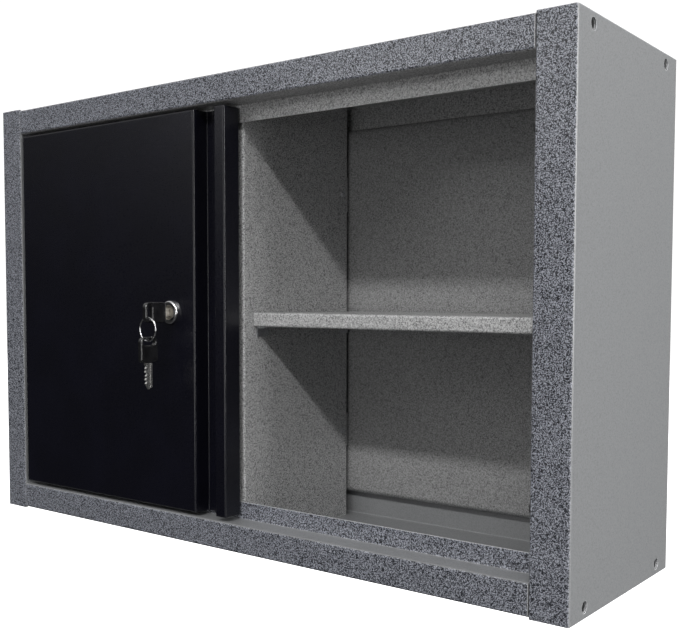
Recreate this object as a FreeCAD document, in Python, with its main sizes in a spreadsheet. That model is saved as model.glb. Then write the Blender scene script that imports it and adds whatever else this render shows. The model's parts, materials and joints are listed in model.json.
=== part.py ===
import FreeCAD, Part

import os
import re

import Sketcher

# A hanging wall cabinet in folded sheet steel, with one sliding door. Sizes are in millimetres.
#
# The part's frame: X runs along the width, Y into the wall and Z up. The origin is on the wall
# plane, at the centre of the wall holes. Every piece is drawn from the front plane instead, so
# its own Y is the depth behind the stiles' faces, and its Placement sets it on the wall plane.

SIZES = [
    # alias, value, what it is
    ("width", 600.0, "overall width, over the side panels"),
    ("height", 380.0, "overall height, over the side panels"),
    ("depth", 170.0, "overall depth, front face to wall"),
    ("gauge", 1.0, "sheet thickness of the carcass"),
    ("bend_radius", 0.8, "inner radius of the carcass folds"),
    ("stile_face", 28.5, "width of the side panels' front faces"),
    ("stile_return", 18.0, "depth of the stiles' inner returns"),
    ("rail_face", 22.4, "height of the rails' front faces"),
    ("rail_setback", 1.0, "how far the top and bottom sit inside the side panels' ends"),
    ("rail_gap", 0.2, "seam between a rail's end and its stile"),
    ("track_gap", 2.5, "the door's back edge to the lip that it runs on"),
    ("lip_height", 14.0, "height of that lip"),
    ("rear_flange", 36.0, "width of the flanges on the wall plane"),
    ("end_flange", 16.0, "height of the flanges that join the top and bottom to the sides"),
    ("end_flange_inset", 4.0, "end flange to the front and rear folds"),
    ("side_hole", 8.0, "diameter of the side panels' joining holes"),
    ("side_hole_inset", 22.5, "joining hole to the front and back"),
    ("side_hole_drop", 7.5, "joining hole to the top and bottom"),
    ("wall_hole", 7.0, "diameter of the wall holes"),
    ("wall_hole_spacing", 406.4, "wall holes across, at wall stud spacing"),
    ("tray_depth", 8.5, "how far the back panel stands in front of the flanges"),
    ("tray_margin", 21.0, "back panel to the inside of the carcass"),
    ("tray_radius", 4.5, "outer radius of the back panel's front edges"),
    ("tray_foot", 10.0, "width of the back panel's welded foot"),
    ("partition_gap", 5.0, "partition to the back panel"),
    ("partition_flange", 12.0, "width of the partition's front flange"),
    ("partition_foot", 15.0, "width of the partition's welded feet"),
    ("foot_inset", 22.0, "partition foot to the partition's edges"),
    ("bracket_leg", 15.5, "legs of the brackets behind the partition"),
    ("bracket_height", 30.0, "height of those brackets"),
    ("bracket_spacing", 216.0, "brackets, centre to centre"),
    ("bracket_rivet", 5.0, "bracket's rivets to the ends of its legs"),
    ("shelf_setback", 10.6, "shelf lips behind the partition's face"),
    ("shelf_top", 1.2, "shelf surface above the middle"),
    ("shelf_lip", 11.5, "height of the shelf lips"),
    ("shelf_hem", 8.0, "width of the shelf's folded-under hem"),
    ("shelf_clearance", 0.5, "shelf to the walls beside it"),
    ("shelf_rear_gap", 4.5, "shelf to the back panel"),
    ("clip_gauge", 1.2, "thickness of the shelf clips and of the strike"),
    ("clip_width", 12.0, "shelf clip, front to back"),
    ("clip_reach", 10.0, "shelf clip, out from the wall"),
    ("clip_height", 8.2, "shelf clip, down the wall"),
    ("clip_inset", 4.0, "front clip behind the shelf lip"),
    ("door_gauge", 0.8, "sheet thickness of the door"),
    ("door_bend_radius", 0.8, "inner radius of the door's folds"),
    ("door_recess", 0.5, "door face behind the stiles' faces"),
    ("door_depth", 16.0, "depth of the door"),
    ("door_cover", 0.5, "closed door past the partition's face"),
    ("door_side_gap", 3.0, "door to the stile at each end of its travel"),
    ("door_top_gap", 2.4, "door to the top rail"),
    ("door_bottom_gap", 3.4, "door to the bottom rail"),
    ("pull_width", 23.0, "width of the finger channel"),
    ("channel_clear", 0.2, "finger channel's floor inside the door's back edge"),
    ("strip_width", 11.7, "width of the door's closing strip"),
    ("stiffener_depth", 10.0, "height of the door stiffener"),
    ("stiffener_crown", 26.0, "width of the stiffener's crown"),
    ("stiffener_flange", 12.0, "width of the stiffener's flanges"),
    ("stiffener_inset", 12.0, "stiffener to the door's top and bottom"),
    ("glide_length", 28.0, "door glide, along the door"),
    ("glide_inset", 34.0, "glide centre to the end of the door's flat face"),
    ("glide_front", 7.0, "front of a glide behind the front face"),
    ("glide_play", 0.3, "running play of the glides under load"),
    ("glide_lift", 1.0, "play above the upper glides' seats"),
    ("glide_nose", 4.0, "height of a glide above the lip's edge"),
    ("glide_wall", 1.0, "thickness of a glide's hook"),
    ("glide_screw_grip", 9.0, "glide screw, into the glide"),
    ("glide_hook", 4.0, "how far a glide hooks behind the lip"),
    ("lip_play", 0.5, "glide to either face of the lip"),
    ("glide_clear", 0.9, "glide's hook to the partition"),
    ("stop_diameter", 10.0, "rubber door stop"),
    ("stop_edge", 0.8, "rounding of a stop's rim"),
    ("stop_play", 0.4, "door to the stops at each end of its travel"),
    ("stop_spacing", 240.0, "door stops, centre to centre"),
    ("lock_inset", 28.0, "lock centre to the finger channel"),
    ("lock_height", 1.0, "lock centre above the middle"),
    ("bezel_flange", 1.6, "bezel, out from the barrel all round"),
    ("bezel_height", 2.9, "lock bezel, out from the door"),
    ("bezel_edge", 1.4, "rounding of the bezel's rim"),
    ("barrel_wall", 2.0, "wall of the lock's threaded barrel"),
    ("barrel_inset", 0.3, "barrel's end inside the door's back edge"),
    ("barrel_play", 0.1, "radial play of the barrel in the door and in its nut"),
    ("nut_wall", 2.0, "lock nut, from the barrel to its flats"),
    ("nut_height", 3.0, "lock nut"),
    ("plug_diameter", 12.0, "lock plug"),
    ("plug_play", 0.06, "radial running clearance of the plug"),
    ("plug_sink", 0.5, "plug face inside the bezel"),
    ("plug_tail", 7.0, "square tail that carries the cam"),
    ("tail_play", 0.05, "tail to the cam and to its screw, each side"),
    ("cam_gauge", 2.0, "thickness of the cam"),
    ("cam_width", 14.0, "width of the cam"),
    ("cam_length", 38.0, "cam, from its centre"),
    ("cam_corner", 4.0, "rounding of the cam's tip"),
    ("cam_clear", 0.1, "barrel to the cam"),
    ("strike_play", 5.2, "turned cam to the strike's tab"),
    ("strike_inset", 2.5, "strike to the partition's face"),
    ("strike_low", 14.0, "bottom of the strike above the lock centre"),
    ("strike_height", 21.0, "height of the strike"),
    ("strike_clear", 0.4, "strike tab behind the door"),
    ("screw_head", 10.0, "cam screw head"),
    ("screw_head_height", 2.2, "cam screw head"),
    ("screw_shank", 3.0, "cam screw shank"),
    ("screw_length", 2.6, "cam screw, into the plug's tail"),
    ("screw_slot", 1.2, "width and depth of the screws' cross slots"),
    ("key_gauge", 2.0, "thickness of a key blade"),
    ("key_height", 7.0, "height of a key blade"),
    ("keyway_floor", 1.15, "plug left between the keyway and the cam"),
    ("key_root", 8.0, "key blade, inside the bow"),
    ("groove_depth", 0.5, "groove along each face of a key blade"),
    ("groove_height", 1.4, "width of that groove"),
    ("groove_edge", 1.6, "blade above that groove"),
    ("key_play", 0.15, "key blade to the keyway and to the bow"),
    ("key_shoulder", 4.1, "bow to the bezel's face"),
    ("bow_length", 21.3, "key bow"),
    ("bow_height", 17.0, "key bow"),
    ("bow_gauge", 4.4, "key bow"),
    ("bow_corner", 5.0, "outer corners of the bow"),
    ("bow_shoulder_corner", 3.0, "corners of the bow beside the blade"),
    ("bow_edge", 0.9, "rounding of the bow's edges"),
    ("bow_slot_length", 12.0, "slot for the ring, across the key"),
    ("bow_slot_width", 4.5, "slot for the ring, along the key"),
    ("slot_flat", 0.225, "half the flat at each end of that slot"),
    ("bow_rim", 2.5, "bow outside that slot"),
    ("ring_radius", 9.4, "key ring, to the middle of its wire"),
    ("ring_wire", 1.4, "diameter of the ring's wire"),
    ("ring_offset", 0.95, "ring to the slot's middle, along the key"),
    ("ring_play", 0.15, "ring to the bow's rim as it turns"),
    ("spare_play", 0.35, "spare key to the ring"),
    ("rivet", 3.2, "diameter of a blind rivet"),
    ("rivet_play", 0.05, "radial play of a rivet in its hole"),
    ("rivet_head", 6.2, "diameter of a rivet's head"),
    ("rivet_head_height", 1.0, "height of a rivet's head"),
    ("rivet_edge", 0.7, "rounding of a rivet's or screw's head"),
    ("rivet_tail", 4.6, "diameter of a rivet's closed tail"),
    ("rivet_tail_height", 2.4, "height of a rivet's closed tail"),
]

# Places worked out from the sizes above. Each is written once and used by name.
PLACES = {
    "side_x": "width / 2",
    "end_z": "height / 2",
    "wall_x": "side_x - gauge",
    "roof_z": "end_z - rail_setback",
    "ceiling_z": "roof_z - gauge",
    "stile_x": "side_x - stile_face",
    "rail_x": "stile_x - rail_gap",
    "rail_z": "roof_z - rail_face",
    "door_back": "door_recess + door_depth",
    "rebate_depth": "door_back + track_gap",
    "lip_z": "rail_z - lip_height",
    "fold_outer": "bend_radius + gauge",
    "flange_x": "side_x - rear_flange",
    "flange_z": "roof_z - rear_flange",
    "flange_y": "depth - gauge",
    "side_hole_z": "end_z - side_hole_drop",
    "tray_x": "wall_x - tray_margin",
    "tray_z": "ceiling_z - tray_margin",
    "tray_y": "flange_y - tray_depth",
    "wall_hole_z": "(tray_z + ceiling_z) / 2",
    "partition_front": "rebate_depth + gauge + lip_play + glide_wall + glide_clear",
    "partition_back": "tray_y - partition_gap",
    "partition_rivet_y": "tray_y - bracket_leg + bracket_rivet",
    "bracket_rivet_x": "-gauge - bracket_leg + bracket_rivet",
    "rivet_hole": "rivet + 2 * rivet_play",
    "shelf_front": "partition_front + shelf_setback",
    "shelf_back": "tray_y - shelf_rear_gap",
    "shelf_low": "shelf_top - shelf_lip",
    "door_left": "-stile_x + door_side_gap",
    "door_right": "door_cover",
    "strip_left": "door_right - strip_width",
    "face_right": "strip_left - pull_width",
    "door_top": "rail_z - door_top_gap",
    "door_bottom": "-rail_z + door_bottom_gap",
    "door_inside": "door_recess + door_gauge",
    "channel_floor": "door_back - door_gauge - channel_clear",
    "glide_screw_y": "(glide_front + door_back) / 2",
    "stiffener_x": "(door_left + face_right - lock_inset) / 2",
    "lock_x": "face_right - lock_inset",
    "barrel_diameter": "plug_diameter + 2 * barrel_wall",
    "barrel_end": "door_back - barrel_inset",
    "bezel_diameter": "barrel_diameter + 2 * bezel_flange",
    "nut_across": "barrel_diameter + 2 * nut_wall",
    "bezel_front": "door_recess - bezel_height",
    "plug_front": "bezel_front + plug_sink",
    "bore_radius": "plug_diameter / 2 + plug_play",
    "cam_front": "barrel_end + cam_clear",
    "cam_back": "cam_front + cam_gauge",
    "strike_x": "lock_x + cam_width / 2 + strike_play",
    "bow_front": "bezel_front - key_shoulder",
    "keyway_end": "cam_front - keyway_floor",
    "key_reach": "keyway_end - key_play - bow_front",
    "bow_end": "-bow_rim - bow_slot_width / 2",
    "bow_root": "bow_end + bow_length",
    "slot_y": "bow_front - bow_root",
    "slot_corner": "bow_slot_width / 2 - slot_flat",
    "ring_y": "slot_y - ring_offset",
    "rim_pivot": "(bow_height + bow_slot_length) / 4",
    "ring_lift": "(bow_gauge + ring_wire) / 2 + ring_play",
    "ring_z": "lock_height - rim_pivot + ring_lift - ring_radius",
    "spare_z": "ring_z - ring_radius - bow_slot_width / 2 + ring_wire / 2 + spare_play",
}

# Each plane of a body's origin, with the axes that run across, up and through it.
PLANES = {"XY_Plane": (0, 1, 2), "XZ_Plane": (0, 2, 1), "YZ_Plane": (1, 2, 0)}
TOUCHING = 1e-4

doc = FreeCAD.newDocument("wall_cabinet")
sheet = doc.addObject("Spreadsheet::Sheet", "Sizes")
for row, (alias, size, note) in enumerate(SIZES, 1):
    sheet.set(f"A{row}", note)
    sheet.set(f"B{row}", str(size))
    sheet.setAlias(f"B{row}", alias)
doc.recompute()

ALIASES = {alias for alias, size, note in SIZES}
pieces = []


def formula(text):
    """Write a size in the words above as an expression on the sheet's cells."""
    def swap(match):
        word = match.group(0)
        if word in PLACES:
            return "(" + formula(PLACES[word]) + ")"
        return "Sizes." + word if word in ALIASES else word
    return re.sub(r"[A-Za-z_]\w*", swap, str(text))


def value(text):
    """The number that a size or place has now."""
    return float(sheet.evalExpression(formula(text)))


def bind(thing, name, text):
    thing.setExpression(name, formula(text))


def new_piece(kind, label, x="0", y="-depth", z="0"):
    """Start one sub-part, and set its own frame on the cabinet's."""
    piece = doc.addObject(kind, label)
    piece.Label = label
    for axis, text in zip("xyz", (x, y, z)):
        bind(piece, f"Placement.Base.{axis}", text)
    pieces.append(piece)
    return piece


def new_body(label, x="0", y="-depth", z="0"):
    body = new_piece("PartDesign::Body", label, x, y, z)
    body.AllowCompound = True
    return body


def box(left, right, low, high):
    """The four corners of an upright rectangle."""
    return [(left, low), (right, low), (right, high), (left, high)]


def circle(across, up, diameter):
    return (across, up, diameter)


def pin_point(sketch, item, point, across, up):
    """Hold one point of a sketch at two bound distances from the origin."""
    for kind, text in (("DistanceX", across), ("DistanceY", up)):
        number = sketch.addConstraint(Sketcher.Constraint(kind, -1, 1, item, point, value(text)))
        bind(sketch, f"Constraints[{number}]", text)


def draw_circle(sketch, across, up, diameter):
    centre = FreeCAD.Vector(value(across), value(up), 0)
    item = sketch.addGeometry(Part.Circle(centre, FreeCAD.Vector(0, 0, 1), value(diameter) / 2))
    pin_point(sketch, item, 3, across, up)
    number = sketch.addConstraint(Sketcher.Constraint("Diameter", item, value(diameter)))
    bind(sketch, f"Constraints[{number}]", diameter)


def draw_polygon(sketch, points):
    spots = [FreeCAD.Vector(value(across), value(up), 0) for across, up in points]
    items = [sketch.addGeometry(Part.LineSegment(start, end))
             for start, end in zip(spots, spots[1:] + spots[:1])]
    for item, following in zip(items, items[1:] + items[:1]):
        sketch.addConstraint(Sketcher.Constraint("Coincident", item, 2, following, 1))
    for item, (across, up) in zip(items, points):
        pin_point(sketch, item, 1, across, up)


def draw(body, plane, at, loops):
    """Draw polygons and circles on one plane of the body's origin, moved along its normal."""
    origin_plane = next(item for item in body.Origin.OriginFeatures if item.Role == plane)
    sketch = body.newObject("Sketcher::SketchObject", body.Label + "_sketch")
    sketch.AttachmentSupport = [(origin_plane, "")]
    sketch.MapMode = "FlatFace"
    bind(sketch, "AttachmentOffset.Base.z", at)
    for loop in loops:
        if isinstance(loop, tuple):
            draw_circle(sketch, *loop)
        else:
            draw_polygon(sketch, loop)
    return sketch


def pad(body, plane, loops, low, high):
    """Fill the loops from low to high along the axis through the plane."""
    at = f"-({high})" if plane == "XZ_Plane" else low
    feature = body.newObject("PartDesign::Pad", body.Label + "_pad")
    feature.Profile = draw(body, plane, at, loops)
    bind(feature, "Length", f"({high}) - ({low})")
    return feature


def cut(body, plane, loops, low, high):
    """Cut the loops from low to high along the axis through the plane."""
    doc.recompute()
    before = body.Tip.Shape.Volume
    at = f"-({low})" if plane == "XZ_Plane" else high
    sketch = draw(body, plane, at, loops)
    feature = body.newObject("PartDesign::Pocket", body.Label + "_cut")
    feature.Profile = sketch
    bind(feature, "Length", f"({high}) - ({low})")
    doc.recompute()
    if feature.Shape.Volume > before - TOUCHING:
        raise RuntimeError(f"{body.Label}: a cut removes nothing")
    return feature


def revolve(body, points):
    """Turn an outline drawn as radius and depth about the body's own Y axis."""
    sketch = draw(body, "XY_Plane", "0", [points])
    feature = body.newObject("PartDesign::Revolution", body.Label + "_turned")
    feature.Profile = sketch
    feature.ReferenceAxis = (sketch, ["V_Axis"])
    feature.Angle = 360
    return feature


def round_edges(body, radius, chosen):
    """Round the edges of the body so far that the given test picks."""
    doc.recompute()
    base = body.Tip
    names = [f"Edge{number}" for number, edge in enumerate(base.Shape.Edges, 1) if chosen(edge)]
    if not names:
        raise RuntimeError(f"{body.Label}: no edge to round")
    feature = body.newObject("PartDesign::Fillet", body.Label + "_rounding")
    feature.Base = (base, names)
    bind(feature, "Radius", radius)
    return feature


def along(plane, spots):
    """A test for edges that run through the plane at any of the spots."""
    across, up, through = PLANES[plane]

    def test(edge):
        ends = [vertex.Point for vertex in edge.Vertexes]
        return len(ends) == 2 and any(
            all(abs(end[across] - u) < TOUCHING and abs(end[up] - v) < TOUCHING for end in ends)
            for u, v in spots)
    return test


def level_at(depth):
    """A test for edges that lie all at one depth behind the front plane."""
    level = value(depth)

    def test(edge):
        extent = edge.BoundBox
        return abs(extent.YMin - level) < TOUCHING and abs(extent.YMax - level) < TOUCHING
    return test


def folded_section(path, side, gauge):
    """The outline of a sheet folded at right angles along the path, with its thickness to the
    left (+1) or right (-1) of it, and the spots of its folds' outer and inner corners."""
    spots = [(value(across), value(up)) for across, up in path]
    steps = [(sign(end[0] - start[0]), sign(end[1] - start[1]))
             for start, end in zip(spots, spots[1:])]
    normals = [(-up * side, across * side) for across, up in steps]
    far = []
    for index, (across, up) in enumerate(path):
        beside = normals[max(index - 1, 0):index + 1]
        far.append((f"{across} + {sum(normal[0] for normal in beside)} * {gauge}",
                    f"{up} + {sum(normal[1] for normal in beside)} * {gauge}"))
    outer, inner = [], []
    for index in range(1, len(path) - 1):
        before, after = steps[index - 1], steps[index]
        turn = (before[0] * after[1] - before[1] * after[0]) * side
        far_spot = (value(far[index][0]), value(far[index][1]))
        outer.append(spots[index] if turn > 0 else far_spot)
        inner.append(far_spot if turn > 0 else spots[index])
    return path + far[::-1], outer, inner


def fold(body, plane, path, side, low, high, gauge="gauge"):
    """A folded sheet, every fold rounded inside and out."""
    section, outer, inner = folded_section(path, side, gauge)
    pad(body, plane, [section], low, high)
    round_edges(body, "bend_radius", along(plane, inner))
    round_edges(body, f"bend_radius + {gauge}", along(plane, outer))


def sign(number):
    return (number > TOUCHING) - (number < -TOUCHING)


def side_panel(label, hand):
    """One side with its front stile, the stile's return and the flange on the wall."""
    body = new_body(label)
    path = [("stile_x", "stile_return"), ("stile_x", "0"), ("side_x", "0"),
            ("side_x", "depth"), ("flange_x", "depth")]
    path = [(f"{hand} * ({across})", up) for across, up in path]
    fold(body, "XY_Plane", path, hand, "-end_z", "end_z")
    notch = sorted([f"{hand} * (stile_x - gauge)", f"{hand} * (stile_x + 2 * gauge)"], key=value)
    across = box(notch[0], notch[1], "fold_outer", "stile_return + gauge")
    cut(body, "XY_Plane", [across], "ceiling_z", "end_z + gauge")
    cut(body, "XY_Plane", [across], "-end_z - gauge", "-ceiling_z")
    skin = sorted([f"{hand} * (wall_x - gauge)", f"{hand} * (side_x + gauge)"], key=value)
    cut(body, "YZ_Plane", side_holes(("side_hole_z", "-side_hole_z")), skin[0], skin[1])


def side_holes(heights):
    return [circle(across, up, "side_hole")
            for across in ("side_hole_inset", "depth - side_hole_inset") for up in heights]


def end_panel(label, hand):
    """The top or the bottom: rail, rebate, the lip that the door runs on, skin and flanges."""
    body = new_body(label)
    path = [("rebate_depth", "lip_z"), ("rebate_depth", "rail_z"), ("0", "rail_z"),
            ("0", "roof_z"), ("depth", "roof_z"), ("depth", "flange_z")]
    path = [(across, f"{hand} * ({up})") for across, up in path]
    fold(body, "YZ_Plane", path, -hand, "-rail_x", "rail_x")
    heights = sorted([f"{hand} * (flange_z - gauge)", f"{hand} * (roof_z + gauge)"], key=value)
    corners = [box("-side_x", "-flange_x + rail_gap", heights[0], heights[1]),
               box("flange_x - rail_gap", "side_x", heights[0], heights[1])]
    cut(body, "XZ_Plane", corners, "depth - fold_outer", "depth + gauge")
    skin = sorted([f"{hand} * ceiling_z", f"{hand} * roof_z"], key=value)
    plate = box("-wall_x", "wall_x", "fold_outer + rail_gap", "depth - fold_outer")
    pad(body, "XY_Plane", [plate], skin[0], skin[1])
    flange = sorted([f"{hand} * (roof_z - end_flange)", f"{hand} * roof_z"], key=value)
    reach = box("end_flange_inset", "depth - end_flange_inset", flange[0], flange[1])
    pad(body, "YZ_Plane", [reach], "wall_x - gauge", "wall_x")
    pad(body, "YZ_Plane", [reach], "-wall_x", "-wall_x + gauge")
    ends = side_holes([f"{hand} * side_hole_z"])
    cut(body, "YZ_Plane", ends, "-side_x", "side_x")
    holes = [circle(f"{way} * wall_hole_spacing / 2", f"{hand} * wall_hole_z", "wall_hole")
             for way in (-1, 1)]
    cut(body, "XZ_Plane", holes, "depth - 2 * gauge", "depth + gauge")


def back_panel():
    """A shallow tray with a rounded rim and a foot welded to the wall flanges."""
    body = new_body("back_panel")
    pad(body, "XZ_Plane", [box("-tray_x", "tray_x", "-tray_z", "tray_z")], "tray_y", "flange_y")
    inner = box("-tray_x + gauge", "tray_x - gauge", "-tray_z + gauge", "tray_z - gauge")
    cut(body, "XZ_Plane", [inner], "tray_y + gauge", "flange_y + gauge")
    round_edges(body, "tray_radius - gauge", level_at("tray_y + gauge"))
    round_edges(body, "tray_radius", level_at("tray_y"))
    inside = box("-tray_x + gauge + tray_foot", "tray_x - gauge - tray_foot",
                 "-tray_z + gauge + tray_foot", "tray_z - gauge - tray_foot")
    rim = box("-tray_x + gauge / 2", "tray_x - gauge / 2", "-tray_z + gauge / 2", "tray_z - gauge / 2")
    pad(body, "XZ_Plane", [rim, inside], "flange_y - gauge", "flange_y")
    holes = [circle("bracket_rivet_x", up, "rivet_hole") for up in bracket_heights()]
    cut(body, "XZ_Plane", holes, "tray_y - gauge", "tray_y + 2 * gauge")


def bracket_heights():
    return [f"{hand} * bracket_spacing / 2" for hand in (-1, 1)]


def partition():
    """The upright between the compartments, with a front flange and welded feet."""
    body = new_body("centre_partition")
    path = [("-partition_flange", "partition_front"), ("0", "partition_front"),
            ("0", "partition_back")]
    fold(body, "XY_Plane", path, 1, "-ceiling_z", "ceiling_z")
    foot = box("-partition_foot", "-gauge / 2", "partition_front + foot_inset",
               "partition_back - foot_inset")
    pad(body, "XY_Plane", [foot], "ceiling_z - gauge", "ceiling_z")
    pad(body, "XY_Plane", [foot], "-ceiling_z", "-ceiling_z + gauge")
    holes = [circle("partition_rivet_y", up, "rivet_hole") for up in bracket_heights()]
    cut(body, "YZ_Plane", holes, "-2 * gauge", "gauge")


def partition_brackets():
    """Two angles that hold the partition's back edge to the back panel."""
    body = new_body("partition_brackets")
    path = [("-gauge", "tray_y - bracket_leg"), ("-gauge", "tray_y"),
            ("-gauge - bracket_leg", "tray_y")]
    for up in bracket_heights():
        fold(body, "XY_Plane", path, 1, f"{up} - bracket_height / 2", f"{up} + bracket_height / 2")
    through = [circle("partition_rivet_y", up, "rivet_hole") for up in bracket_heights()]
    cut(body, "YZ_Plane", through, "-3 * gauge", "0")
    back = [circle("bracket_rivet_x", up, "rivet_hole") for up in bracket_heights()]
    cut(body, "XZ_Plane", back, "tray_y - 2 * gauge", "tray_y + gauge")


def level_circles(axis, place):
    """A test for closed round edges at one place along an axis."""
    level = value(place)

    def test(edge):
        centre = edge.BoundBox.Center[axis]
        return len(edge.Vertexes) == 1 and abs(centre - level) < TOUCHING
    return test


def fasteners(body, plane, places, head_seat, hand, far_side, tail=True):
    """Round-headed fasteners through the plane. The head stands on head_seat towards hand
    times the axis, and the shank reaches far_side, where a rivet's tail closes on it."""
    def span(start, end):
        return sorted([start, end], key=value)

    def rounds(diameter):
        return [circle(across, up, diameter) for across, up in places]
    head_top = f"{head_seat} + {hand} * rivet_head_height"
    pad(body, plane, rounds("rivet_head"), *span(head_seat, head_top))
    through = PLANES[plane][2]
    round_edges(body, "rivet_edge", level_circles(through, head_top))
    pad(body, plane, rounds("rivet"), *span(head_seat, far_side))
    if tail:
        tail_end = f"{far_side} - {hand} * rivet_tail_height"
        pad(body, plane, rounds("rivet_tail"), *span(far_side, tail_end))


def partition_rivets():
    body = new_body("partition_rivets")
    through = [("partition_rivet_y", up) for up in bracket_heights()]
    fasteners(body, "YZ_Plane", through, "0", 1, "-2 * gauge")
    back = [("bracket_rivet_x", up) for up in bracket_heights()]
    fasteners(body, "XZ_Plane", back, "tray_y - gauge", -1, "tray_y + gauge")


def shelf(label, left, right):
    body = new_body(label)
    path = [("shelf_front + shelf_hem", "shelf_low"), ("shelf_front", "shelf_low"),
            ("shelf_front", "shelf_top"), ("shelf_back", "shelf_top"), ("shelf_back", "shelf_low")]
    fold(body, "YZ_Plane", path, -1, f"{left} + shelf_clearance", f"{right} - shelf_clearance")


def shelf_clips(label, left, right):
    """Four welded angles, front and back on the two walls of one compartment."""
    body = new_body(label)
    front = "shelf_front + clip_inset"
    spans = [(front, f"{front} + clip_width"), ("shelf_back - clip_width", "shelf_back")]
    for wall, hand in ((left, 1), (right, -1)):
        path = [(wall, "shelf_low - clip_height"), (wall, "shelf_low"),
                (f"{wall} + {hand} * clip_reach", "shelf_low")]
        for near, far in spans:
            fold(body, "XZ_Plane", path, -hand, near, far, "clip_gauge")


def lock_strike():
    """An angle behind the partition's flange, with the tab that the cam turns up behind."""
    body = new_body("lock_strike")
    path = [("-strike_inset", "partition_front + gauge"), ("strike_x", "partition_front + gauge"),
            ("strike_x", "door_back + strike_clear")]
    low = "lock_height + strike_low"
    fold(body, "XY_Plane", path, -1, low, f"{low} + strike_height", "clip_gauge")


def door_stops():
    """Rubber buttons on the stiles' returns, two at each end of the door's travel."""
    body = new_body("door_stops")
    rounds = [circle("stile_return / 2", f"{hand} * stop_spacing / 2", "stop_diameter")
              for hand in (-1, 1)]
    reach = "door_side_gap - stop_play"
    pad(body, "YZ_Plane", rounds, "-stile_x", f"-stile_x + {reach}")
    pad(body, "YZ_Plane", rounds, f"stile_x - ({reach})", "stile_x")
    left, right = level_circles(0, f"-stile_x + {reach}"), level_circles(0, f"stile_x - ({reach})")
    round_edges(body, "stop_edge", lambda edge: left(edge) or right(edge))


def door_panel():
    """One folded skin: the flat face, the finger channel beside it and the closing strip."""
    body = new_body("door_panel")
    path = [("door_left", "door_back"), ("door_left", "door_recess"),
            ("face_right", "door_recess"), ("face_right", "channel_floor"),
            ("strip_left", "channel_floor"), ("strip_left", "door_recess"),
            ("door_right", "door_recess"), ("door_right", "door_back")]
    section, outer, inner = folded_section(path, 1, "door_gauge")
    pad(body, "XY_Plane", [section], "door_bottom", "door_top")
    returns = (box("door_left", "face_right", "door_recess", "door_back"),
               box("strip_left", "door_right", "door_recess", "door_back"))
    for edge_return in returns:
        pad(body, "XY_Plane", [edge_return], "door_top - door_gauge", "door_top")
        pad(body, "XY_Plane", [edge_return], "door_bottom", "door_bottom + door_gauge")
    round_edges(body, "door_bend_radius", along("XY_Plane", inner))
    sides = [value(side) for side in ("door_left", "door_right")]
    rims = [(side, value(end)) for side in sides for end in ("door_bottom", "door_top")]
    tests = (level_at("door_recess"), along("XY_Plane", outer), along("XZ_Plane", rims))
    round_edges(body, "door_bend_radius + door_gauge", lambda edge: any(test(edge) for test in tests))
    hole = circle("lock_x", "lock_height", "barrel_diameter + 2 * barrel_play")
    cut(body, "XZ_Plane", [hole], "door_recess - gauge", "door_inside + gauge")
    screws = [circle(across, "glide_screw_y", "rivet_hole") for across in glide_places()]
    cut(body, "XY_Plane", screws, "door_top - 2 * door_gauge", "door_top + gauge")
    cut(body, "XY_Plane", screws, "door_bottom - gauge", "door_bottom + 2 * door_gauge")


def glide_places():
    return ["door_left + glide_inset", "face_right - glide_inset"]


def door_stiffener():
    """A hat-shaped rib welded inside the door's face."""
    body = new_body("door_stiffener")
    crown, foot = "stiffener_crown / 2", "(stiffener_crown / 2 + stiffener_flange)"
    base, top = "door_inside", "door_inside + stiffener_depth"
    path = [(f"stiffener_x - {foot}", base), (f"stiffener_x - {crown}", base),
            (f"stiffener_x - {crown}", top), (f"stiffener_x + {crown}", top),
            (f"stiffener_x + {crown}", base), (f"stiffener_x + {foot}", base)]
    fold(body, "XY_Plane", path, 1, "door_bottom + stiffener_inset", "door_top - stiffener_inset",
         "door_gauge")


def glides(label, hand, seat, run):
    """Two nylon blocks in the door's edge that ride over the lip and hook behind it."""
    body = new_body(label)
    lip_front, lip_back = "rebate_depth - lip_play", "rebate_depth + gauge + lip_play"
    hook, head = f"{run} + {hand} * glide_hook", f"{run} - {hand} * glide_nose"
    outline = [("glide_front", seat), (lip_front, seat), (lip_front, run), (lip_back, run),
               (lip_back, hook), (f"{lip_back} + glide_wall", hook), (f"{lip_back} + glide_wall", head),
               ("glide_front", head)]
    for place in glide_places():
        pad(body, "YZ_Plane", [outline], f"{place} - glide_length / 2", f"{place} + glide_length / 2")
    screws = [circle(across, "glide_screw_y", "rivet_hole") for across in glide_places()]
    depth = sorted([f"{seat} + {hand} * gauge", f"{seat} - {hand} * glide_screw_grip"], key=value)
    cut(body, "XY_Plane", screws, depth[0], depth[1])


def glide_screws():
    body = new_body("glide_screws")
    places = [(across, "glide_screw_y") for across in glide_places()]
    grip = "(door_gauge + glide_screw_grip - rivet_play)"
    fasteners(body, "XY_Plane", places, "door_top", 1, f"door_top - {grip}", tail=False)
    fasteners(body, "XY_Plane", places, "door_bottom", -1, f"door_bottom + {grip}", tail=False)


def lock_body():
    """Bezel and threaded barrel, bored through for the plug."""
    body = new_body("lock_body", "lock_x", "-depth", "lock_height")
    revolve(body, [("bore_radius", "bezel_front"), ("bezel_diameter / 2", "bezel_front"),
                   ("bezel_diameter / 2", "door_recess"), ("barrel_diameter / 2", "door_recess"),
                   ("barrel_diameter / 2", "barrel_end"), ("bore_radius", "barrel_end")])
    front = level_circles(1, "bezel_front")
    barrel = value("barrel_diameter")
    round_edges(body, "bezel_edge", lambda edge: front(edge) and edge.BoundBox.XLength > barrel)


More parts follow.
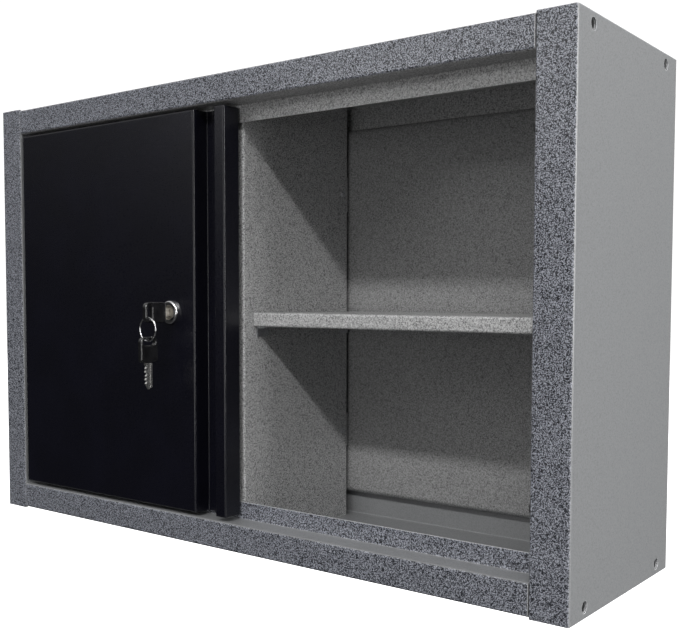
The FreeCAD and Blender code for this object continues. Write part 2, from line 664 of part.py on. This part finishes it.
def lock_nut():
    body = new_body("lock_nut", "lock_x", "-depth", "lock_height")
    corners = [(f"nut_across / sqrt(3) * cos({angle} deg)", f"nut_across / sqrt(3) * sin({angle} deg)")
               for angle in range(0, 360, 60)]
    hole = circle("0", "0", "barrel_diameter + 2 * barrel_play")
    pad(body, "XZ_Plane", [corners, hole], "door_inside", "door_inside + nut_height")


def square(half):
    return box(f"-({half})", half, f"-({half})", half)


def lock_plug():
    """The turning plug, with its keyway and the square tail for the cam."""
    body = new_body("lock_plug", "lock_x", "-depth", "lock_height")
    revolve(body, [("0", "plug_front"), ("plug_diameter / 2", "plug_front"),
                   ("plug_diameter / 2", "cam_front"), ("0", "cam_front")])
    pad(body, "XZ_Plane", [square("plug_tail / 2")], "cam_front", "cam_back")
    keyway = box("-key_gauge / 2 - key_play", "key_gauge / 2 + key_play",
                 "-key_height / 2 - key_play", "key_height / 2 + key_play")
    cut(body, "XZ_Plane", [keyway], "plug_front - gauge", "keyway_end")
    tapped = circle("0", "0", "screw_shank + 2 * tail_play")
    cut(body, "XZ_Plane", [tapped], "cam_back - screw_length", "cam_back + gauge")


def lock_cam():
    body = new_body("lock_cam", "lock_x", "-depth", "lock_height")
    pad(body, "XZ_Plane", [circle("0", "0", "cam_width")], "cam_front", "cam_back")
    arm = box("-cam_length", "0", "-cam_width / 2", "cam_width / 2")
    pad(body, "XZ_Plane", [arm], "cam_front", "cam_back")
    tip = [(value("-cam_length"), value(f"{hand} * cam_width / 2")) for hand in (-1, 1)]
    round_edges(body, "cam_corner", along("XZ_Plane", tip))
    cut(body, "XZ_Plane", [square("plug_tail / 2 + tail_play")], "cam_front - gauge", "cam_back + gauge")


def cam_screw():
    body = new_body("cam_screw", "lock_x", "-depth", "lock_height")
    head_end = "cam_back + screw_head_height"
    pad(body, "XZ_Plane", [circle("0", "0", "screw_head")], "cam_back", head_end)
    round_edges(body, "rivet_edge", level_circles(1, head_end))
    shank = circle("0", "0", "screw_shank")
    pad(body, "XZ_Plane", [shank], "cam_back - screw_length + tail_play", "cam_back")
    wide, narrow = "screw_head / 4", "screw_slot / 2"
    for half_across, half_up in ((wide, narrow), (narrow, wide)):
        slot = box(f"-{half_across}", half_across, f"-{half_up}", half_up)
        cut(body, "XZ_Plane", [slot], f"{head_end} - screw_slot", f"{head_end} + gauge")


# Depths of the cuts along a key's edge, from the bow to the tip. The crest after each cut is
# still this share of the cut's depth below the edge.
KEY_CUTS = (1.5, 0.8, 2.1, 1.2, 1.8)
CREST_SHARE = 1 / 3


def key_blade(label, x, y, z):
    """A flat grooved blade with cuts along its lower edge. Its Y runs from the ring slot to the tip."""
    body = new_body(label, x, y, z)
    half, tip = "key_height / 2", "(bow_root + key_reach)"
    pitch = f"(key_reach / {len(KEY_CUTS) + 2})"
    outline = [("bow_root - key_root", f"-{half}"), (f"bow_root + {pitch} / 2", f"-{half}")]
    for number, depth in enumerate(KEY_CUTS, 1):
        outline.append((f"bow_root + {number} * {pitch}", f"-{half} + {depth}"))
        outline.append((f"bow_root + ({number} + 0.5) * {pitch}", f"-{half} + {depth * CREST_SHARE}"))
    outline += [(tip, "0"), (f"{tip} - {pitch} / 2", half), ("bow_root - key_root", half)]
    pad(body, "YZ_Plane", [outline], "-key_gauge / 2", "key_gauge / 2")
    groove_top = f"({half} - groove_edge)"
    groove = box("bow_root", f"{tip} + key_play", f"{groove_top} - groove_height", groove_top)
    groove_floor = "(key_gauge / 2 - groove_depth)"
    cut(body, "YZ_Plane", [groove], groove_floor, "key_gauge")
    cut(body, "YZ_Plane", [groove], "-key_gauge", f"-{groove_floor}")
    return body


def key_bow(label, x, y, z):
    """A moulded grip over the blade's root, with a slot for the ring at its end."""
    body = new_body(label, x, y, z)
    half = "bow_height / 2"
    grip = box("bow_end", "bow_root", f"-{half}", half)
    pad(body, "YZ_Plane", [grip], "-bow_gauge / 2", "bow_gauge / 2")
    ends = [(value("bow_end"), hand * value(half)) for hand in (-1, 1)]
    round_edges(body, "bow_corner", along("YZ_Plane", ends))
    shoulders = [(value("bow_root"), hand * value(half)) for hand in (-1, 1)]
    round_edges(body, "bow_shoulder_corner", along("YZ_Plane", shoulders))
    slot = box("-bow_slot_width / 2", "bow_slot_width / 2", "-bow_slot_length / 2", "bow_slot_length / 2")
    cut(body, "YZ_Plane", [slot], "-bow_gauge", "bow_gauge")
    slot_corners = [(across * value("bow_slot_width / 2"), up * value("bow_slot_length / 2"))
                    for across in (-1, 1) for up in (-1, 1)]
    round_edges(body, "slot_corner", along("YZ_Plane", slot_corners))
    face = value("bow_gauge / 2")

    def on_a_face(edge):
        extent = edge.BoundBox
        return extent.XLength < TOUCHING and abs(abs(extent.XMin) - face) < TOUCHING
    round_edges(body, "bow_edge", on_a_face)
    socket = box("-key_gauge / 2", "key_gauge / 2", "-key_height / 2", "key_height / 2")
    cut(body, "XZ_Plane", [socket], "bow_root - key_root", "bow_root + gauge")
    return body


def key_ring():
    ring = new_piece("Part::Torus", "key_ring", "lock_x", "-depth + ring_y", "ring_z")
    bind(ring, "Radius1", "ring_radius")
    bind(ring, "Radius2", "ring_wire / 2")
    turn_about_x(ring, 90)


def turn_about_x(piece, angle):
    """Turn a placed piece about the cabinet's X axis, where it is."""
    piece.Placement.Rotation = FreeCAD.Rotation(FreeCAD.Vector(1, 0, 0), angle)


side_panel("side_panel_left", -1)
side_panel("side_panel_right", 1)
end_panel("top_panel", 1)
end_panel("bottom_panel", -1)
back_panel()
partition()
partition_brackets()
partition_rivets()
shelf("shelf_left", "-wall_x", "-gauge")
shelf("shelf_right", "0", "wall_x")
shelf_clips("shelf_clips_left", "-wall_x", "-gauge")
shelf_clips("shelf_clips_right", "0", "wall_x")
lock_strike()
door_stops()

door_panel()
door_stiffener()
glides("top_glides", 1, "(door_top - door_gauge)", "(lip_z - glide_lift)")
glides("bottom_glides", -1, "(door_bottom + door_gauge)", "(glide_play - lip_z)")
glide_screws()
lock_body()
lock_nut()

lock_plug()
lock_cam()
cam_screw()

key_place = ("lock_x", "-depth + slot_y", "lock_height")
key_blade("key_blade", *key_place)
key_bow("key_bow", *key_place)
key_ring()
spare_place = ("lock_x", "-depth + ring_y", "spare_z")
for spare in (key_blade("spare_key_blade", *spare_place), key_bow("spare_key_bow", *spare_place)):
    turn_about_x(spare, -90)

doc.recompute()
for item in doc.Objects:
    if "Invalid" in item.State or "Error" in item.State:
        raise RuntimeError(f"{item.Label} failed: {item.State}")
for piece in pieces:
    if piece.Shape.isNull() or not piece.Shape.isValid():
        raise RuntimeError(f"{piece.Label} has no valid shape")
os.makedirs("parts", exist_ok=True)
for piece in pieces:
    piece.Shape.exportStep(f"parts/{piece.Label}.step")
    print(piece.Label, len(piece.Shape.Solids), "solids", round(piece.Shape.Volume), "mm3")
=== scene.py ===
import json
import math

import bpy
from mathutils import Matrix, Vector


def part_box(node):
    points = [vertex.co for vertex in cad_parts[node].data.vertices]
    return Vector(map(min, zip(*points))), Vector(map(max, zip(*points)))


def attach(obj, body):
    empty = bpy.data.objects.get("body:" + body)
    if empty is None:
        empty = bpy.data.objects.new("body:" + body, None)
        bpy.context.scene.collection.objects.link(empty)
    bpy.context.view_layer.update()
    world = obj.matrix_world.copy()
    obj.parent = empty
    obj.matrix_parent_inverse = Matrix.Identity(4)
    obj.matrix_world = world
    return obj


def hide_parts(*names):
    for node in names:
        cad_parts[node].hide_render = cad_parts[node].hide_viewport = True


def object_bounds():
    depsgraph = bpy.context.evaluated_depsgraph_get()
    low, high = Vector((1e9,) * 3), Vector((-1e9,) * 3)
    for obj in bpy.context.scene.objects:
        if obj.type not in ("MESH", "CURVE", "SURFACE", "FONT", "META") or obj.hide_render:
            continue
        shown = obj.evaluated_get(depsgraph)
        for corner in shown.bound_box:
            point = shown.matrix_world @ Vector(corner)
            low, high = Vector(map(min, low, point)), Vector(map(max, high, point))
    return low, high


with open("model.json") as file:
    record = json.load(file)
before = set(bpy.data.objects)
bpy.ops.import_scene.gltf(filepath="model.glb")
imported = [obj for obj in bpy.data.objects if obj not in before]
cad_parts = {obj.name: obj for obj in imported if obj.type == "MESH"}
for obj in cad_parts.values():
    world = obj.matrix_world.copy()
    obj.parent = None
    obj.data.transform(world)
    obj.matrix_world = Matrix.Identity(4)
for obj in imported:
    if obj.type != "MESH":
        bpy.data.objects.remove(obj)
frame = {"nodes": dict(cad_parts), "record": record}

# Looks for the hanging wall cabinet: paints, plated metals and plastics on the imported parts, a
# coiled split ring in place of the plain one, and a plain studio. Everything is in metres.

cad_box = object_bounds()
MM = 0.001
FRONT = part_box("side_panel_left")[0].y      # the plane of the cabinet's front faces

# How bright the room is straight up and straight down, as far as it lights the cabinet.
CEILING, GROUND = 0.9, 0.04

# The folds are lit as if they had this radius. This share of a pale tone is painted along them as a
# painted highlight.
FOLD = 0.85 * MM
FOLD_HIGHLIGHT_TONE = (0.8, 0.81, 0.83)
FOLD_HIGHLIGHT_SHARE = 0.8

# Hammer finish: its gloss, how wide its beads are, and how high they stand on the outer panels.
HAMMER_GLOSS = {"Specular_IOR_Level": 0.4, "Coat_Weight": 0.4, "Coat_Roughness": 0.2}
BEAD, OUTER_BEAD = 0.9 * MM, 1.1 * MM
FRONT_LIFT, OUTER_LIFT = 0.14 * MM, 0.012 * MM

# The front faces are painted darker, as painted shade, this far behind the front plane. The longer
# reach takes in the lip that the door runs on.
RIM_REACH, LIP_REACH = 3 * MM, 22 * MM

# Smooth coat: the slow clouding, the ripple of the orange peel and the dust in the gloss.
CLOUD, PEEL, DUST = 45 * MM, 1.6 * MM, 0.6 * MM
PEEL_LIFT = 0.02 * MM

# Moulded plastic: its clouding, the grain of its gloss and the texture from the mould.
PLASTIC_CLOUD, GLOSS_GRAIN, MOULD_GRAIN = 8 * MM, 0.5 * MM, 0.45 * MM

# The studio: how far the long key light sits to the right, and the floor's size and depth.
KEY_SHIFT = 2.7
FLOOR_SIZE, FLOOR_DROP = 30, 0.8


# ---------------------------------------------------------------- camera

def aim_camera():
    """The viewing angle: from the right, at about the cabinet's middle, looking slightly down."""
    place = Vector((0.55132, -0.70538, 0.01277))
    turn, tilt, roll = math.radians(35.952), math.radians(3.210), math.radians(0.274)
    level = Vector((-math.sin(turn), math.cos(turn), 0))
    forward = level * math.cos(tilt) - Vector((0, 0, math.sin(tilt)))
    right = Vector((math.cos(turn), math.sin(turn), 0))
    up = right.cross(forward)
    rolled_right = right * math.cos(roll) + up * math.sin(roll)
    rolled_up = up * math.cos(roll) - right * math.sin(roll)
    data = bpy.data.cameras.new("camera")
    data.sensor_width = 36
    data.lens = 50.772
    data.shift_x = -0.0752
    data.shift_y = 0.0542
    camera = bpy.data.objects.new("camera", data)
    bpy.context.scene.collection.objects.link(camera)
    axes = Matrix((rolled_right, rolled_up, -forward)).transposed()
    camera.matrix_world = Matrix.Translation(place) @ axes.to_4x4()
    bpy.context.scene.camera = camera


# ---------------------------------------------------------------- material building blocks

class Finish:
    """A material around one Principled shader, built up a node at a time."""

    def __init__(self, name, colour, roughness, **sockets):
        self.material = bpy.data.materials.new(name)
        self.material.use_nodes = True
        self.tree = self.material.node_tree
        self.shader = self.tree.nodes["Principled BSDF"]
        self.shader.inputs["Base Color"].default_value = (*colour, 1)
        self.shader.inputs["Roughness"].default_value = roughness
        for socket, amount in sockets.items():
            self.shader.inputs[socket.replace("_", " ")].default_value = amount
        self.place = self.node("ShaderNodeTexCoord").outputs["Object"]

    def node(self, kind, settings=None, **inputs):
        made = self.tree.nodes.new(kind)
        for name, choice in (settings or {}).items():
            setattr(made, name, choice)
        for name, given in inputs.items():
            socket = made.inputs[name.replace("_", " ")]
            self.feed(socket, given)
        return made

    def feed(self, socket, given):
        if isinstance(given, bpy.types.NodeSocket):
            self.tree.links.new(given, socket)
        else:
            socket.default_value = given

    def noise(self, size, detail=2, roughness=0.5, distortion=0):
        """Cloudy noise from 0 to 1, with blotches about the given size across."""
        made = self.node("ShaderNodeTexNoise", Vector=self.place, Scale=1 / size,
                         Detail=detail, Roughness=roughness, Distortion=distortion)
        return made.outputs["Fac"]

    def maths(self, operation, *values):
        made = self.node("ShaderNodeMath", {"operation": operation})
        for socket, given in zip(made.inputs, values):
            self.feed(socket, given)
        return made.outputs[0]

    def spread(self, source, low, high, to_low=0.0, to_high=1.0):
        """Stretch a value's range from low..high to to_low..to_high, smoothly."""
        made = self.node("ShaderNodeMapRange", {"interpolation_type": "SMOOTHSTEP"}, Value=source,
                         From_Min=low, From_Max=high, To_Min=to_low, To_Max=to_high)
        return made.outputs["Result"]

    def blend(self, amount, first, second):
        """A colour between two others."""
        made = self.node("ShaderNodeMix", {"data_type": "RGBA"})
        self.feed(made.inputs[0], amount)
        for socket, given in ((made.inputs[6], first), (made.inputs[7], second)):
            self.feed(socket, given if isinstance(given, bpy.types.NodeSocket) else (*given, 1))
        return made.outputs[2]

    def colour(self, source):
        self.feed(self.shader.inputs["Base Color"], source)

    def roughness(self, source):
        self.feed(self.shader.inputs["Roughness"], source)

    def vary_roughness(self, grain, least, most):
        """Let the roughness wander between two values, in grains of the given size."""
        self.roughness(self.spread(self.noise(grain), 0.3, 0.7, least, most))

    def bump(self, height, depth, strength=1.0):
        """Raise the surface by height times depth, in metres."""
        made = self.node("ShaderNodeBump", Height=height, Distance=depth, Strength=strength)
        normal = self.shader.inputs["Normal"]
        if normal.is_linked:
            self.feed(made.inputs["Normal"], normal.links[0].from_socket)
        self.feed(normal, made.outputs["Normal"])

    def soften_edges(self):
        """Light the folds as if they were rounded. This comes before the bumps."""
        rounded = self.node("ShaderNodeBevel", {"samples": 6}, Radius=FOLD).outputs["Normal"]
        self.feed(self.shader.inputs["Normal"], rounded)
        return rounded

    def paint_fold_highlights(self, colour):
        """Soften the folds, and paint a pale highlight along them, where their rounding would catch
        the light.
        """
        turned = self.node("ShaderNodeVectorMath", {"operation": "DOT_PRODUCT"})
        self.feed(turned.inputs[0], self.soften_edges())
        self.feed(turned.inputs[1], self.node("ShaderNodeNewGeometry").outputs["Normal"])
        # Painted highlight: the colour turns pale where the rounded normal turns away from the flat
        # one.
        fold_highlight = self.spread(turned.outputs["Value"], 0.92, 0.998, FOLD_HIGHLIGHT_SHARE, 0)
        self.colour(self.blend(fold_highlight, colour, FOLD_HIGHLIGHT_TONE))

    def on_the_front(self, reach):
        """1 on faces that look out to the front, within reach of the front plane, 0 on the rest."""
        normal = self.node("ShaderNodeTexCoord").outputs["Normal"]
        out = self.node("ShaderNodeSeparateXYZ", Vector=normal).outputs["Y"]
        facing = self.spread(self.maths("MULTIPLY", out, -1), 0.5, 0.95)
        depth = self.node("ShaderNodeSeparateXYZ", Vector=self.place).outputs["Y"]
        limit = FRONT + reach
        near = self.spread(depth, limit, limit + MM, 1, 0)
        return self.maths("MULTIPLY", facing, near)


# ---------------------------------------------------------------- finishes

def hammer_pattern(finish, cell):
    """Rounded beads, 1 at their tops, with narrow valleys of 0 that wander between them."""
    cloud = finish.noise(cell * 1.7, 1, 0.4, 0.5)
    contour = finish.maths("ABSOLUTE", finish.maths("SUBTRACT", cloud, 0.5))
    valleys = finish.spread(contour, 0.005, 0.085)
    lumps = finish.spread(finish.noise(cell, 1, 0.5, 0.3), 0.34, 0.66)
    return finish.maths("MULTIPLY_ADD", valleys, 0.6, finish.maths("MULTIPLY", lumps, 0.4))


def hammertone(name, tones, cell, depth):
    """Hammer finish paint in three tones: the valleys, the beads' sides and the beads' tops."""
    finish = Finish(name, tones[1], 0.4, **HAMMER_GLOSS)
    pattern = hammer_pattern(finish, cell)
    # The folds get a painted highlight.
    finish.paint_fold_highlights(three_tones(finish, pattern, tones))
    finish.roughness(finish.spread(pattern, 0, 1, 0.5, 0.32))
    finish.bump(pattern, depth)
    return finish.material


def three_tones(finish, pattern, tones):
    """The pattern's colour, from its lowest places over the middle to its tops."""
    lower = finish.blend(finish.spread(pattern, 0.1, 0.5), tones[0], tones[1])
    return finish.blend(finish.spread(pattern, 0.5, 0.95), lower, tones[2])


def frame_hammertone(name, front_shade_tones, other_tones, reach):
    """The outer panels' paint: the hammer marks painted dark and speckled on the front faces, as
    painted shade with painted glints, and other tones behind.
    """
    finish = Finish(name, other_tones[1], 0.4, **HAMMER_GLOSS)
    front = hammer_pattern(finish, BEAD)
    other = hammer_pattern(finish, OUTER_BEAD)
    # The front faces get the painted shade; their beads also stand higher there.
    where = finish.on_the_front(reach)
    behind = three_tones(finish, other, other_tones)
    # Painted shade on the front faces, and a painted highlight along the folds.
    finish.paint_fold_highlights(finish.blend(where, behind, three_tones(finish, front, front_shade_tones)))
    finish.roughness(finish.spread(front, 0, 1, 0.5, 0.34))
    finish.bump(finish.maths("MULTIPLY", front, where), FRONT_LIFT)
    finish.bump(other, OUTER_LIFT)
    return finish.material


def gloss_paint(name, colour, roughness):
    """Smooth powder coat: a faint orange peel, with fine dust in the gloss."""
    finish = Finish(name, colour, roughness, Coat_Weight=0.2, Coat_Roughness=0.2)
    finish.soften_edges()
    cloud = finish.spread(finish.noise(CLOUD, 3), 0.35, 0.7)
    tint = tuple(channel * 1.35 for channel in colour)
    finish.colour(finish.blend(cloud, colour, tint))
    finish.vary_roughness(DUST, roughness - 0.05, roughness + 0.06)
    finish.bump(finish.noise(PEEL, 1), PEEL_LIFT, 0.6)
    return finish.material


def metal(name, colour, roughness, grain, depth, cloud_size=3 * MM, patina=0.15):
    """Plated or bare metal, with clouding in the plate and fine grain in the surface."""
    finish = Finish(name, colour, roughness, Metallic=1.0)
    cloud = finish.spread(finish.noise(cloud_size, 3), 0.3, 0.7)
    dull = tuple(channel * (1 - patina) for channel in colour)
    finish.colour(finish.blend(cloud, colour, dull))
    finish.vary_roughness(grain, roughness * 0.8, roughness * 1.3)
    finish.bump(finish.noise(grain), depth, 0.5)
    return finish.material


def plastic(name, colour, roughness, depth, **sockets):
    """Moulded plastic or rubber, with a fine texture from the mould."""
    finish = Finish(name, colour, roughness, **sockets)
    cloud = finish.spread(finish.noise(PLASTIC_CLOUD), 0.35, 0.65)
    worn = tuple(channel * 1.15 + 0.004 for channel in colour)
    finish.colour(finish.blend(cloud, colour, worn))
    finish.vary_roughness(GLOSS_GRAIN, roughness - 0.05, roughness + 0.07)
    finish.bump(finish.noise(MOULD_GRAIN), depth, 0.6)
    return finish.material


def greys(*levels):
    """Neutral colours of the given levels."""
    return tuple((level, level, level) for level in levels)


def paint_parts():
    """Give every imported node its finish, by the material slot that the record names."""
    # The front faces' tones are painted shade: the same paint as the sides, painted far darker,
    # with pale bead tops as painted glints.
    front_shade_tones = ((0.002, 0.002, 0.004), (0.034, 0.037, 0.047), (0.39, 0.405, 0.455))
    side_tones = ((0.215, 0.22, 0.224), (0.25, 0.255, 0.26), (0.27, 0.275, 0.28))
    inner_tones = ((0.12, 0.12, 0.122), *greys(0.25, 0.38))
    frame_paint = frame_hammertone("frame_hammertone", front_shade_tones, side_tones, RIM_REACH)
    top_tones = greys(0.2, 0.41, 0.68)
    top_paint = frame_hammertone("top_hammertone", front_shade_tones, top_tones, RIM_REACH)
    rail_paint = frame_hammertone("rail_hammertone", front_shade_tones, side_tones, LIP_REACH)
    inner_paint = hammertone("inner_hammertone", inner_tones, BEAD, 0.03 * MM)
    shelf_tones = greys(0.14, 0.36, 0.64)
    shelf_paint = hammertone("shelf_hammertone", shelf_tones, BEAD, 0.045 * MM)
    partition_tones = greys(0.1, 0.31, 0.64)
    partition_paint = hammertone("partition_hammertone", partition_tones, BEAD, 0.06 * MM)
    door_paint = gloss_paint("door_black", (0.0026, 0.0026, 0.006), 0.3)
    chrome = metal("bright_chrome", (0.93, 0.93, 0.94), 0.17, 0.4 * MM, 0.006 * MM)
    plug = metal("cast_plug", (0.86, 0.79, 0.68), 0.36, 0.5 * MM, 0.06 * MM, 0.9 * MM, 0.65)
    zinc = metal("zinc_plate", (0.62, 0.63, 0.65), 0.3, 0.6 * MM, 0.01 * MM, 6 * MM, 0.2)
    key_steel = metal("nickel_key", (0.92, 0.91, 0.89), 0.3, 0.5 * MM, 0.03 * MM, 1.5 * MM, 0.2)
    bow = plastic("bow_black", (0.007, 0.007, 0.008), 0.2, 0.006 * MM, Coat_Weight=1.0,
                  Coat_Roughness=0.16)
    nylon = plastic("natural_nylon", (0.76, 0.74, 0.68), 0.45, 0.02 * MM, Subsurface_Weight=0.15,
                    Subsurface_Radius=(0.002, 0.002, 0.002))
    rubber = plastic("stop_rubber", (0.025, 0.025, 0.026), 0.6, 0.04 * MM)
    finishes = {"hammertone_paint": inner_paint, "door_paint": door_paint, "chrome": chrome,
                "plug_metal": plug, "zinc": zinc, "key_steel": key_steel, "key_plastic": bow,
                "nylon": nylon, "rubber": rubber}
    special = {"side_panel_left": frame_paint, "side_panel_right": frame_paint,
               "top_panel": top_paint, "bottom_panel": rail_paint, "shelf_left": shelf_paint,
               "shelf_right": shelf_paint, "centre_partition": partition_paint}
    for part in frame["record"]["subparts"]:
        thing = frame["nodes"][part["node"]]
        finish = special.get(part["node"], finishes[part["material_slot"]])
        thing.data.materials.clear()
        thing.data.materials.append(finish)
        for face in thing.data.polygons:
            face.material_index = 0
    return finishes


# ---------------------------------------------------------------- the split ring

def split_ring(finish):
    """Two turns of flat spring wire, pressed together, in place of the plain CAD ring."""
    low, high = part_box("key_ring")
    centre = (low + high) / 2
    wire = (high.y - low.y) / 2
    radius = (high.x - low.x) / 2 - wire
    coil_radius = radius + wire * 0.2
    half_width, half_height = 0.62, 0.5     # of the flattened wire, in shares of its room
    start = math.radians(110)
    turns, steps, sides = 2, 96, 12
    step_from, step_over = 0.42, 0.16       # where in a turn the wire climbs, in shares of a turn
    points, faces = [], []
    count = turns * steps
    for index in range(count + 1):
        run = index / steps
        within = (run - 0.5) % 1
        climb = min(max((within - step_from) / step_over, 0), 1)
        layer = math.floor(run - 0.5) + climb * climb * (3 - 2 * climb)
        layer = min(max(layer, 0), 1)
        angle = 2 * math.pi * run + start
        out = Vector((math.cos(angle), 0, math.sin(angle)))
        middle = centre + out * coil_radius + Vector((0, (layer - 0.5) * wire, 0))
        for side in range(sides):
            around = 2 * math.pi * side / sides
            flat = Vector((0, math.sin(around) * wire * half_height, 0))
            points.append(middle + out * math.cos(around) * wire * half_width + flat)
    for index in range(count):
        for side in range(sides):
            near, far = index * sides, (index + 1) * sides
            following = (side + 1) % sides
            faces.append((near + side, near + following, far + following, far + side))
    faces.append(tuple(range(sides))[::-1])
    faces.append(tuple(count * sides + side for side in range(sides)))
    mesh = bpy.data.meshes.new("split_ring")
    mesh.from_pydata(points, [], faces)
    mesh.validate()
    for face in mesh.polygons:
        face.use_smooth = True
    ring = bpy.data.objects.new("split_ring", mesh)
    bpy.context.scene.collection.objects.link(ring)
    mesh.materials.append(finish)
    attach(ring, "key_ring")
    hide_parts("key_ring")


# ---------------------------------------------------------------- studio

def area_light(name, toward, distance, size, power, target):
    """A softbox facing the target, set off from it in the given direction, with its width level."""
    data = bpy.data.lights.new(name, "AREA")
    data.shape = "RECTANGLE"
    data.size, data.size_y = size
    data.energy = power
    light = bpy.data.objects.new(name, data)
    bpy.context.scene.collection.objects.link(light)
    away = Vector(toward).normalized()
    light.location = target + away * distance
    light.rotation_mode = "QUATERNION"
    light.rotation_quaternion = away.to_track_quat("Z", "Y")


def surround():
    """White where the camera looks at it, and a dim room with a bright ceiling where it lights."""
    world = bpy.data.worlds.new("surround")
    bpy.context.scene.world = world
    world.use_nodes = True
    tree = world.node_tree
    seen = tree.nodes["Background"]
    seen.inputs["Color"].default_value = (1, 1, 1, 1)
    seen.inputs["Strength"].default_value = 1.1
    direction = tree.nodes.new("ShaderNodeTexCoord")
    split = tree.nodes.new("ShaderNodeSeparateXYZ")
    tree.links.new(direction.outputs["Generated"], split.inputs[0])
    total = tree.nodes.new("ShaderNodeMath")
    lighting = tree.nodes.new("ShaderNodeBackground")
    sockets = ("From Min", "From Max", "To Min", "To Max")
    above, below = (0.02, 0.9, 0.02, CEILING), (-0.1, -0.8, 0.0, GROUND)
    for number, levels in enumerate((above, below)):
        band = tree.nodes.new("ShaderNodeMapRange")
        band.interpolation_type = "SMOOTHSTEP"
        tree.links.new(split.outputs["Z"], band.inputs["Value"])
        for socket, level in zip(sockets, levels):
            band.inputs[socket].default_value = level
        tree.links.new(band.outputs["Result"], total.inputs[number])
    tree.links.new(total.outputs[0], lighting.inputs["Strength"])
    path, mix = tree.nodes.new("ShaderNodeLightPath"), tree.nodes.new("ShaderNodeMixShader")
    tree.links.new(path.outputs["Is Camera Ray"], mix.inputs[0])
    tree.links.new(lighting.outputs[0], mix.inputs[1])
    tree.links.new(seen.outputs[0], mix.inputs[2])
    tree.links.new(mix.outputs[0], tree.nodes["World Output"].inputs["Surface"])


def studio():
    """A pale floor far below the hanging cabinet, and five softboxes: a long key in front and
    above, one each for the right side, the front and the back, and one from the front left."""
    low, high = cad_box
    middle = (low + high) / 2
    key_middle = middle + Vector((KEY_SHIFT, 0, 0))
    surround()
    area_light("key_softbox", (0, -0.74, 0.672), 6.0, (7.0, 0.3), 275, key_middle)
    area_light("side_softbox", (0.98, 0.02, 0.18), 2.0, (1.0, 1.2), 31, middle)
    area_light("fill_softbox", (0.3, -0.95, -0.04), 2.2, (1.0, 0.8), 6.5, middle)
    area_light("back_softbox", (-0.3, 0.9, 0.3), 2.6, (1.8, 1.4), 26, middle)
    area_light("left_softbox", (-0.46, -0.83, 0.33), 2.6, (1.0, 0.7), 5.0, middle)

    bpy.ops.mesh.primitive_plane_add(size=FLOOR_SIZE, location=(0, 0, low.z - FLOOR_DROP))
    floor = bpy.context.object
    floor.name = "floor"
    paint = Finish("pale_floor", (0.95, 0.95, 0.95), 0.9)
    paint.colour(paint.blend(paint.noise(400 * MM), (0.94, 0.94, 0.94), (0.97, 0.97, 0.97)))
    paint.shader.inputs["Emission Color"].default_value = (1, 1, 1, 1)
    paint.shader.inputs["Emission Strength"].default_value = 1.0
    floor.data.materials.append(paint.material)
    floor.visible_diffuse = False
    floor.visible_glossy = False
    bpy.context.scene.view_settings.view_transform = "Standard"


aim_camera()
finishes = paint_parts()
split_ring(finishes["chrome"])
studio()
